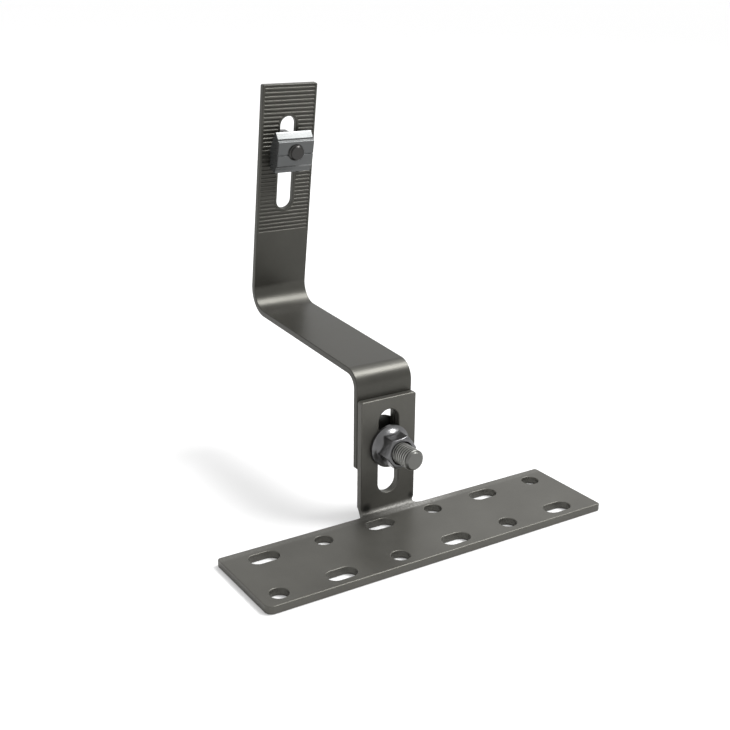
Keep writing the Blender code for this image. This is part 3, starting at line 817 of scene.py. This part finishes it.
def rounded_corners(points, radius):
    """An outline with each corner replaced by a short curve."""
    curve = []
    for i, point in enumerate(points):
        corner = Vector(point)
        before = Vector(points[i - 1]) - corner
        after = Vector(points[(i + 1) % len(points)]) - corner
        reach = min(radius, CORNER_REACH_SHARE * before.length, CORNER_REACH_SHARE * after.length)
        start = corner + before.normalized() * reach
        end = corner + after.normalized() * reach
        for k in range(EDGE_STEPS + 1):
            t = k / EDGE_STEPS
            curve.append(tuple(start * (1 - t) ** 2 + corner * 2 * t * (1 - t) + end * t ** 2))
    return curve


def pulled_in(points, distance):
    """An outline with every point moved into the material."""
    moved = []
    for i, point in enumerate(points):
        along = Vector(points[(i + 1) % len(points)]) - Vector(points[i - 1])
        along.normalize()
        moved.append((point[0] - along.y * distance, point[1] + along.x * distance))
    return moved


def rail_clamp_mesh():
    """The extruded block, before its bore is cut."""
    outline = rounded_corners(clamp_outline(), 2 * CLAMP_EDGE)
    half = CLAMP_LENGTH / 2
    bm = bmesh.new()
    rings = []
    for side in (-1, 1):
        ends = []
        for i in range(CLAMP_EDGE_STEPS + 1):
            angle = QUARTER_TURN * i / CLAMP_EDGE_STEPS
            pull = CLAMP_EDGE * (1 - math.sin(angle))
            x = side * (half - CLAMP_EDGE * (1 - math.cos(angle)))
            ends.append([bm.verts.new((x, y, z)) for y, z in pulled_in(outline, pull)])
        rings += ends if side < 0 else reversed(ends)
    walls(bm, rings)
    bm.faces.new(rings[0])
    bm.faces.new(rings[-1])
    return finish_mesh(bm, "rail_clamp_fine", SHARP_BLOCK_EDGE)


def hexagon_head_profile(angle):
    """Radius and height along the head's surface at one angle, from its end to its seat."""
    low = CLAMP_BOLT_SEAT - CLAMP_BOLT_HEAD
    side = hexagon_radius(angle, CLAMP_BOLT_FLATS)
    points = [(0, low), (min(side, CLAMP_BOLT_CROWN_RADIUS) - NUT_EDGE / 2, low)]
    for level in spread(0.0, CLAMP_BOLT_HEAD, HEXAGON_HEAD_STEPS) + [CLAMP_BOLT_HEAD]:
        crown = CLAMP_BOLT_CROWN_RADIUS + level / math.tan(CROWN_SLOPE)
        points.append((smooth_low(side, crown, NUT_EDGE), low + level))
    points.append((0, CLAMP_BOLT_SEAT))
    return points


def clamp_bolt_mesh():
    """Hexagon head and threaded shank."""
    columns = turned_columns(hexagon_head_profile, NUT_STEPS // 2)
    head = grid_mesh("clamp_bolt_head", columns, False)
    radius = CLAMP_BOLT_DIAMETER / 2
    start = CLAMP_BOLT_SEAT - CLAMP_BOLT_HEAD / 2
    end = CLAMP_BOLT_SEAT + CLAMP_BOLT_LENGTH
    shank = threaded_rod(
        "clamp_bolt_shank", radius, CLAMP_BOLT_THREAD_DEPTH, CLAMP_BOLT_PITCH, start, end,
        CLAMP_BOLT_TIP_RADIUS,
    )
    return join("clamp_bolt_fine", [head, shank])


def washer_mesh():
    """Flat washer with rounded edges."""
    front = -ARM_SHEET - SEAT_GAP
    back = front - WASHER_THICKNESS
    outer = WASHER_DIAMETER / 2 - WASHER_EDGE
    inner = WASHER_HOLE / 2 + WASHER_EDGE
    profile = []
    corners = (
        (outer, back + WASHER_EDGE, -1), (outer, front - WASHER_EDGE, 0),
        (inner, front - WASHER_EDGE, 1), (inner, back + WASHER_EDGE, 2),
    )
    for r, h, start in corners:
        angle = start * QUARTER_TURN
        profile += arc((r, h), WASHER_EDGE, angle, angle + QUARTER_TURN, EDGE_STEPS)
    return grid_mesh("clamp_washer_fine", turned_columns(lambda angle: profile, TURN_STEPS), True)


# Materials

# Scale of each pattern, and the two values between which most of a pattern lies
CLOUD_SCALE = 45.0
GRAIN_SCALE = 2600.0
PIT_SCALE = 700.0
DENT_SCALE = 500.0
SPECKLE_SCALE = 800.0
NOISE_LOW = 0.3
NOISE_HIGH = 0.7
# How far the clouds make the sheen smoother and rougher, and how much rougher the steel is where light is
# painted
SHEEN_SMOOTHER = 0.03
SHEEN_ROUGHER = 0.04
WORN_ROUGHNESS = 0.2
# Painted highlight along the tab's foot: its reach, its least strength and its colour; and the colour of
# painted shade
FOOT_HIGHLIGHT_REACH = 4.0 * MM
FOOT_HIGHLIGHT_LEAST = 0.25
FOOT_HIGHLIGHT_STEEL = (0.33, 0.325, 0.31)
SHADED_STEEL = (0.012, 0.012, 0.010)
# How far a thread's painted root shade and its painted crest highlight reach along the radius
THREAD_SHADOW = 0.45 * MM
THREAD_CREST_HIGHLIGHT = 0.2 * MM
# Where each spot of painted shade at the tab's foot lies along X and above the plate, how far it reaches,
# and how dark it is
FOOT_SHADE_SPOTS = (
    (-12.0 * MM, 2.6 * MM, 3.6 * MM, 0.9),
    (13.2 * MM, 3.6 * MM, 2.4 * MM, 0.7),
)
SHADE_SPOT_CORE_SHARE = 0.2
# White floor: its paper and place, and how much it glows near the object and far from it, where seen
FLOOR_WHITE = (0.68, 0.68, 0.68)
FLOOR_ROUGHNESS = 0.9
FLOOR_HALF_SIZE = 40.0
FLOOR_DROP = 0.05 * MM
FLOOR_NEAR = 0.25
FLOOR_FAR = 1.2
FLOOR_NEAR_GLOW = 0.2
FLOOR_FAR_GLOW = 0.4
# How much of the white seen directly shows in the metal too
MIRRORED_SHARE = 0.3


def new_material(name):
    """A material, its node tree and its shader."""
    made = bpy.data.materials.new(name)
    made.use_nodes = True
    return made, made.node_tree, made.node_tree.nodes["Principled BSDF"]


def set_inputs(tree, node, inputs):
    """Link or set a node's inputs, given by name or number."""
    for name, value in inputs.items():
        if isinstance(value, bpy.types.NodeSocket):
            tree.links.new(value, node.inputs[name])
        else:
            node.inputs[name].default_value = value


def add_node(tree, kind, inputs, **settings):
    """A node with its settings and its inputs."""
    made = tree.nodes.new(kind)
    for name, setting in settings.items():
        setattr(made, name, setting)
    set_inputs(tree, made, inputs)
    return made


def noise(tree, vector, scale, detail, rough=0.5):
    """A noise pattern, drawn at a place."""
    inputs = {"Vector": vector, "Scale": scale, "Detail": detail, "Roughness": rough}
    return add_node(tree, "ShaderNodeTexNoise", inputs).outputs["Fac"]


def ramp(tree, pattern, colours):
    """Map a pattern to colours from the first to the second."""
    made = add_node(tree, "ShaderNodeValToRGB", {"Fac": pattern})
    for element, place, colour in zip(made.color_ramp.elements, (NOISE_LOW, NOISE_HIGH), colours):
        element.position = place
        element.color = (*colour, 1.0)
    return made.outputs["Color"]


def map_range(tree, value, source, target, curve="LINEAR"):
    """Map a value from one range to another, and hold it at their ends."""
    limits = dict(zip(("From Min", "From Max", "To Min", "To Max"), (*source, *target)))
    inputs = {"Value": value, **limits}
    return add_node(tree, "ShaderNodeMapRange", inputs, interpolation_type=curve).outputs["Result"]


def pattern_range(tree, pattern, low, high):
    """Map a pattern to values from low to high."""
    return map_range(tree, pattern, (NOISE_LOW, NOISE_HIGH), (low, high))


def fade(tree, value, full, none):
    """One where the value is at full, falling smoothly to zero where it is at none."""
    return map_range(tree, value, (full, none), (1.0, 0.0), "SMOOTHSTEP")


def bump(tree, shader, layers):
    """Chain bumps of (height, distance) into the shader's normal."""
    before = {}
    for height, distance in layers:
        inputs = {"Strength": 1.0, "Distance": distance, "Height": height, **before}
        before = {"Normal": add_node(tree, "ShaderNodeBump", inputs).outputs["Normal"]}
    set_inputs(tree, shader, before)


def mix_colour(tree, factor, base, over):
    """Blend a fixed colour over a linked one, by a linked factor."""
    inputs = {"Factor": factor, "A": base, "B": (*over, 1.0)}
    return add_node(tree, "ShaderNodeMix", inputs, data_type="RGBA").outputs["Result"]


def calculate(tree, operation, *values):
    """The result of a Math node for numbers and linked values."""
    inputs = dict(enumerate(values))
    return add_node(tree, "ShaderNodeMath", inputs, operation=operation).outputs["Value"]


def calculate_vector(tree, operation, vector, other=(0, 0, 0)):
    """The results of a Vector Math node for a linked vector and a fixed one."""
    return add_node(tree, "ShaderNodeVectorMath", {0: vector, 1: other}, operation=operation).outputs


def distance_from(tree, vector, centre, scale=(1, 1, 1)):
    """Distance from a point, with each axis weighed; a weight of zero leaves that axis out."""
    shifted = calculate_vector(tree, "SUBTRACT", vector, centre)["Vector"]
    weighed = calculate_vector(tree, "MULTIPLY", shifted, scale)["Vector"]
    return calculate_vector(tree, "LENGTH", weighed)["Value"]


def steel(name, colours, roughness, grain, stretch=(1, 1, 1), metallic=1.0, painted_light=None, dents=None):
    """Metal with soft clouds, a fine grain and an uneven sheen; painted light, where given, changes its
    colour and dulls it.
    """
    made, tree, shader = new_material(name)
    place = add_node(tree, "ShaderNodeTexCoord", {}).outputs["Object"]
    mapping = add_node(tree, "ShaderNodeMapping", {"Vector": place, "Scale": stretch})
    clouds = noise(tree, place, CLOUD_SCALE, detail=4.0, rough=0.6)
    grains = noise(tree, mapping.outputs["Vector"], GRAIN_SCALE, detail=2.0)
    pits = noise(tree, place, PIT_SCALE, detail=3.0, rough=0.7)
    colour = ramp(tree, clouds, colours)
    uneven = pattern_range(tree, clouds, roughness - SHEEN_SMOOTHER, roughness + SHEEN_ROUGHER)
    # Painted highlight or shade in the colour, and duller steel where it lies
    if painted_light:
        colour, painted_and_dulled = painted_light(tree, place, colour)
        uneven = calculate(tree, "ADD", uneven, calculate(tree, "MULTIPLY", painted_and_dulled, WORN_ROUGHNESS))
    set_inputs(tree, shader, {"Base Color": colour, "Roughness": uneven, "Metallic": metallic})
    layers = [(grains, grain), (pits, grain / 2)]
    if dents:
        layers.append((noise(tree, place, DENT_SCALE, detail=2.0), dents))
    bump(tree, shader, layers)
    return made


def foot_highlight_and_shade(tree, place, colour):
    """A painted highlight along the foot of the tab, mottled and stronger towards +X, where the steel is
    also dulled, and a spot of painted shade at each end.
    """
    foot = (0, HALF_WIDTH - TAB_BEND / 2, PLATE_TOP)
    from_foot = distance_from(tree, place, foot, (0, 1, 1))
    near_foot = fade(tree, from_foot, FOOT_HIGHLIGHT_REACH / 2, FOOT_HIGHLIGHT_REACH)
    from_right = distance_from(tree, place, (STRAP_WIDTH / 2, 0, 0), (1, 0, 0))
    side = calculate(tree, "ADD", fade(tree, from_right, 0.0, STRAP_WIDTH), FOOT_HIGHLIGHT_LEAST)
    speckle = noise(tree, place, SPECKLE_SCALE, detail=5.0, rough=0.8)
    speckle = pattern_range(tree, speckle, 0.0, 1.0)
    painted_and_dulled = calculate(tree, "MULTIPLY", near_foot, side)
    foot_highlight = calculate(tree, "MULTIPLY", painted_and_dulled, speckle)
    # Painted highlight along the tab's foot
    colour = mix_colour(tree, foot_highlight, colour, FOOT_HIGHLIGHT_STEEL)
    # Painted shade at each end of the foot
    for x, rise, reach, strength in FOOT_SHADE_SPOTS:
        from_shade_spot = distance_from(tree, place, (x, TAB_FRONT, PLATE_TOP + rise))
        shade = fade(tree, from_shade_spot, SHADE_SPOT_CORE_SHARE * reach, reach)
        shade = calculate(tree, "MULTIPLY", shade, strength)
        colour = mix_colour(tree, shade, colour, SHADED_STEEL)
    return colour, painted_and_dulled


def thread_shade_and_highlight(radius, depth, low, high, crest_highlight_steel):
    """A maker of painted light between two heights: painted shade in a thread's roots, and a painted
    highlight on its crests.
    """
    def painted_light(tree, place, colour):
        from_axis = distance_from(tree, place, (0, 0, 0), (1, 1, 0))
        height = add_node(tree, "ShaderNodeSeparateXYZ", {"Vector": place}).outputs["Z"]
        above = calculate(tree, "GREATER_THAN", height, low)
        below = calculate(tree, "LESS_THAN", height, high)
        threaded = calculate(tree, "MULTIPLY", above, below)
        root = radius - depth
        root_shade = fade(tree, from_axis, root, root + THREAD_SHADOW)
        root_shade = calculate(tree, "MULTIPLY", root_shade, threaded)
        crest_highlight = fade(tree, from_axis, radius, radius - THREAD_CREST_HIGHLIGHT)
        crest_highlight = calculate(tree, "MULTIPLY", crest_highlight, threaded)
        # Painted shade in the roots, then a painted highlight on the crests
        colour = mix_colour(tree, root_shade, colour, SHADED_STEEL)
        return mix_colour(tree, crest_highlight, colour, crest_highlight_steel), root_shade
    return painted_light


def sheet_steel():
    colours = ((0.0855, 0.083, 0.073), (0.1025, 0.100, 0.089))
    # The tab's foot gets a painted highlight and two spots of painted shade
    return steel("sheet_steel", colours, roughness=0.42, grain=0.006 * MM, metallic=0.6, painted_light=foot_highlight_and_shade)


def arm_steel():
    colours = ((0.0475, 0.046, 0.0395), (0.0585, 0.057, 0.049))
    return steel("arm_steel", colours, roughness=0.35, grain=0.006 * MM, metallic=0.6)


def bolt_steel():
    """The height bolt's steel, with painted shade in its thread roots and a painted highlight on its
    crests.
    """
    radius = BOLT_DIAMETER / 2
    end = BOLT_LENGTH - (radius - BOLT_TIP_RADIUS)
    painted_light = thread_shade_and_highlight(radius, BOLT_THREAD_DEPTH, NECK_LENGTH, end, (0.40, 0.40, 0.38))
    colours = ((0.135, 0.135, 0.128), (0.185, 0.185, 0.175))
    return steel("bolt_steel", colours, roughness=0.36, grain=0.004 * MM, painted_light=painted_light)


def nut_steel():
    """The nut's glossier steel, softly dented."""
    colours = ((0.130, 0.130, 0.132), (0.175, 0.175, 0.178))
    return steel("nut_steel", colours, roughness=0.30, grain=0.003 * MM, dents=0.15 * MM)


def dark_bolt_steel():
    radius = CLAMP_BOLT_DIAMETER / 2
    end = CLAMP_BOLT_LENGTH - ARM_SHEET - WASHER_THICKNESS - 3 * SEAT_GAP
    # Painted shade in the thread's roots and a painted highlight on its crests
    painted_light = thread_shade_and_highlight(radius, CLAMP_BOLT_THREAD_DEPTH, 0, end, (0.10, 0.10, 0.095))
    colours = ((0.040, 0.039, 0.038), (0.060, 0.059, 0.057))
    return steel("dark_bolt_steel", colours, roughness=0.26, grain=0.004 * MM, painted_light=painted_light)


def washer_steel():
    colours = ((0.11, 0.11, 0.11), (0.15, 0.15, 0.15))
    return steel("washer_steel", colours, roughness=0.34, grain=0.003 * MM)


def clamp_aluminium():
    """Mill-finish aluminium with streaks along the extrusion."""
    colours = ((0.080, 0.083, 0.083), (0.108, 0.111, 0.111))
    along = (0.04, 1, 1)
    return steel("clamp_aluminium", colours, roughness=0.17, grain=0.004 * MM, stretch=along, metallic=0.6)


def seen_share(tree):
    """One for rays from the camera or through a clear piece, and a part of that for mirrored rays."""
    path = add_node(tree, "ShaderNodeLightPath", {}).outputs
    clear = calculate(tree, "MAXIMUM", path["Is Camera Ray"], path["Is Transmission Ray"])
    mirrored = calculate(tree, "MULTIPLY", path["Is Glossy Ray"], MIRRORED_SHARE)
    return calculate(tree, "MAXIMUM", clear, mirrored)


def floor_material():
    """White paper that keeps the shadow near the object and stays white far from it."""
    made, tree, shader = new_material("white_floor")
    place = add_node(tree, "ShaderNodeTexCoord", {}).outputs["Object"]
    near = fade(tree, distance_from(tree, place, (0, 0, 0)), FLOOR_NEAR, FLOOR_FAR)
    glow = calculate(tree, "MULTIPLY_ADD", near, FLOOR_NEAR_GLOW - FLOOR_FAR_GLOW, FLOOR_FAR_GLOW)
    strength = calculate(tree, "MULTIPLY", seen_share(tree), glow)
    inputs = {"Base Color": (*FLOOR_WHITE, 1.0), "Roughness": FLOOR_ROUGHNESS}
    inputs.update({"Emission Color": (1, 1, 1, 1), "Emission Strength": strength})
    set_inputs(tree, shader, inputs)
    return made


# Pieces in place

def settle(piece, body, node, location=(0, 0, 0), tilt=0.0):
    """Put a piece where its CAD node is, on the node's body."""
    piece.location = location
    piece.rotation_euler = (tilt, 0, 0)
    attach(piece, body)
    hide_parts(node)


def new_object(name, data):
    made = bpy.data.objects.new(name, data)
    bpy.context.collection.objects.link(made)
    return made


def piece_of(name, mesh, material):
    mesh.materials.append(material)
    return new_object(name, mesh)


def cut_bore(block, radius):
    """Drill the block along its own Z with an exact Boolean, and apply it."""
    length = 4 * CLAMP_DEPTH
    bm = bmesh.new()
    bmesh.ops.create_cone(
        bm, cap_ends=True, segments=TURN_STEPS, radius1=radius, radius2=radius, depth=length,
    )
    drill = new_object("drill", mesh_from(bm, "drill"))
    step = block.modifiers.new("bore", "BOOLEAN")
    step.operation = "DIFFERENCE"
    step.solver = "EXACT"
    step.object = drill
    bpy.context.view_layer.update()
    cut = bpy.data.meshes.new_from_object(block.evaluated_get(bpy.context.evaluated_depsgraph_get()))
    block.modifiers.clear()
    block.data = cut
    cut.name = "rail_clamp_drilled"
    bpy.data.objects.remove(drill, do_unlink=True)
    even = block.modifiers.new("even_normals", "WEIGHTED_NORMAL")
    even.keep_sharp = True


def dress():
    """Replace each CAD node by its finished piece."""
    settle(piece_of("bracket", bracket_mesh(), sheet_steel()), "base", "base_bracket")
    arm_at = (0, ARM_FRONT, PLATE_TOP + BOLT_HEIGHT)
    settle(piece_of("arm", arm_mesh(), arm_steel()), "arm", "hook_arm", arm_at)
    bolt_at = (0, ARM_BACK + SEAT_GAP, PLATE_TOP + BOLT_HEIGHT)
    bolt = piece_of("round_head_bolt", height_bolt_mesh(), bolt_steel())
    settle(bolt, "height_fastener", "height_bolt", bolt_at, QUARTER_TURN)
    nut = piece_of("flange_nut", height_nut_mesh(), nut_steel())
    settle(nut, "height_fastener", "height_nut", bolt_at, QUARTER_TURN)
    clamp_at = leg_place(CLAMP_FROM_TOP)
    clamp = piece_of("clamp_block", rail_clamp_mesh(), clamp_aluminium())
    cut_bore(clamp, CLAMP_BORE)
    settle(clamp, "rail_clamp_set", "rail_clamp", clamp_at, LEG_TILT)
    hex_bolt = piece_of("hexagon_bolt", clamp_bolt_mesh(), dark_bolt_steel())
    settle(hex_bolt, "rail_clamp_set", "clamp_bolt", clamp_at, LEG_TILT)
    washer = piece_of("flat_washer", washer_mesh(), washer_steel())
    settle(washer, "rail_clamp_set", "clamp_washer", clamp_at, LEG_TILT)


# Studio

# Strength of the world, what it gains behind and above, and the heights where the white horizon ends
ROOM_LEVEL = 0.76
ROOM_BEHIND = 0.08
ROOM_ABOVE = 0.1
HORIZON_FULL = 0.03
HORIZON_NONE = 0.25
# Where the lamps aim
OBJECT_MIDDLE = (0, 50.0 * MM, 60.0 * MM)


def direction(azimuth, elevation):
    """A unit vector; azimuth 0 is -Y, the object's front, and a quarter turn is +X."""
    level = math.cos(elevation)
    return Vector((math.sin(azimuth) * level, -math.cos(azimuth) * level, math.sin(elevation)))


def softbox(name, azimuth, elevation, distance, width, height, radiance, aim=OBJECT_MIDDLE):
    """A rectangular lamp of a given radiance, turned to its aim; its angles are in degrees."""
    lamp = bpy.data.lights.new(name, "AREA")
    lamp.shape = "RECTANGLE"
    lamp.size = width
    lamp.size_y = height
    lamp.energy = radiance * math.pi * width * height
    made = new_object(name, lamp)
    out = direction(math.radians(azimuth), math.radians(elevation))
    made.location = Vector(aim) + out * distance
    made.rotation_euler = out.to_track_quat("Z", "Y").to_euler()


def add_lamps():
    """A key lamp and a wide soft one on the object, and a small near one that the clamp's lip mirrors."""
    softbox("key", 66.0, 57.0, distance=1.9, width=0.78, height=0.78, radiance=17.0)
    softbox("side", 100.0, 52.0, distance=1.9, width=1.2, height=0.7, radiance=2.2)
    clamp = leg_place(CLAMP_FROM_TOP)
    softbox("lip", 42.2, 44.3, distance=0.45, width=0.10, height=0.08, radiance=10.0, aim=clamp)


def add_world():
    """A pale room, white at the horizon and to the camera, and a little brighter behind and above."""
    world = bpy.data.worlds.new("studio")
    bpy.context.scene.world = world
    world.use_nodes = True
    tree = world.node_tree
    view = add_node(tree, "ShaderNodeTexCoord", {}).outputs["Generated"]
    split = add_node(tree, "ShaderNodeSeparateXYZ", {"Vector": view}).outputs
    behind = calculate(tree, "MULTIPLY", split["Y"], ROOM_BEHIND)
    above = calculate(tree, "MULTIPLY", split["Z"], ROOM_ABOVE)
    room = calculate(tree, "ADD", calculate(tree, "ADD", behind, above), ROOM_LEVEL)
    horizon = fade(tree, split["Z"], HORIZON_FULL, HORIZON_NONE)
    white = calculate(tree, "MAXIMUM", horizon, seen_share(tree))
    level = add_node(tree, "ShaderNodeMix", {"Factor": white, "A": room, "B": 1.0}).outputs["Result"]
    set_inputs(tree, tree.nodes["Background"], {"Color": (1, 1, 1, 1), "Strength": level})


def add_floor():
    """A wide white floor just under the plate."""
    bm = bmesh.new()
    bmesh.ops.create_grid(bm, x_segments=1, y_segments=1, size=FLOOR_HALF_SIZE)
    floor = piece_of("floor", mesh_from(bm, "floor"), floor_material())
    floor.location = (0, 0, -FLOOR_DROP)


def add_camera():
    """The photograph's view: back is the way from the aim to the camera."""
    back = direction(CAMERA_AZIMUTH, CAMERA_ELEVATION)
    level = Vector((math.cos(CAMERA_AZIMUTH), math.sin(CAMERA_AZIMUTH), 0))
    upright = back.cross(level)
    right = level * math.cos(CAMERA_ROLL) + upright * math.sin(CAMERA_ROLL)
    up = upright * math.cos(CAMERA_ROLL) - level * math.sin(CAMERA_ROLL)
    aim = Vector((0, HALF_WIDTH, AIM_HEIGHT)) + right * AIM_RIGHT + up * AIM_UP
    data = bpy.data.cameras.new("camera")
    data.lens = LENS
    data.sensor_width = SENSOR
    data.sensor_fit = "HORIZONTAL"
    data.clip_start = CLIP_START
    data.clip_end = CLIP_END
    camera = new_object("camera", data)
    turn = Matrix((right, up, back)).transposed().to_4x4()
    camera.matrix_world = Matrix.Translation(aim + back * CAMERA_DISTANCE) @ turn
    bpy.context.scene.camera = camera


dress()
add_floor()
add_lamps()
add_world()
add_camera()
bpy.context.scene.view_settings.view_transform = "Standard"
